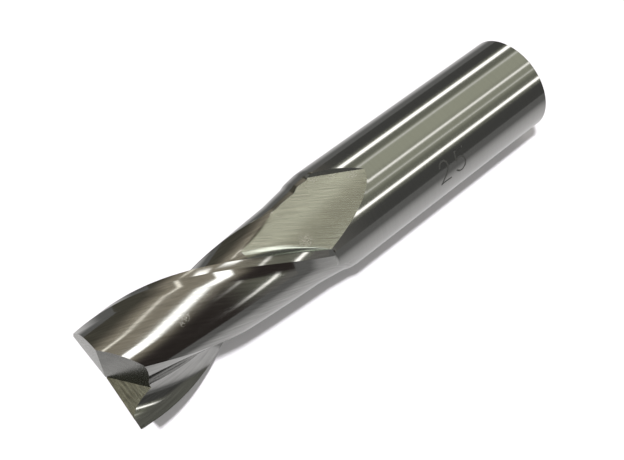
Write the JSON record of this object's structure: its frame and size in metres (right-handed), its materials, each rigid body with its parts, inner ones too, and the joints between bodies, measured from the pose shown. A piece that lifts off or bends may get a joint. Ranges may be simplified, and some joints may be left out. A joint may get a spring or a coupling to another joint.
{
  "type": "slot drill",
  "caption": "Solid slot drill with helical chip flutes, ground end teeth and a plain round shank.",
  "frame": {"origin": "centre of the shank's end face", "axes": "+Z along the tool's axis, from the shank's end face to the cutting end; +X points at the outer corner of one end tooth"},
  "size_m": [0.025, 0.025, 0.121],
  "materials": {
    "ground_steel": "bright ground high-speed steel, with fine grinding lines along the flutes and round the shank"
  },
  "bodies": {
    "root": {"slot_drill": "ground_steel"}
  },
  "joints": []
}
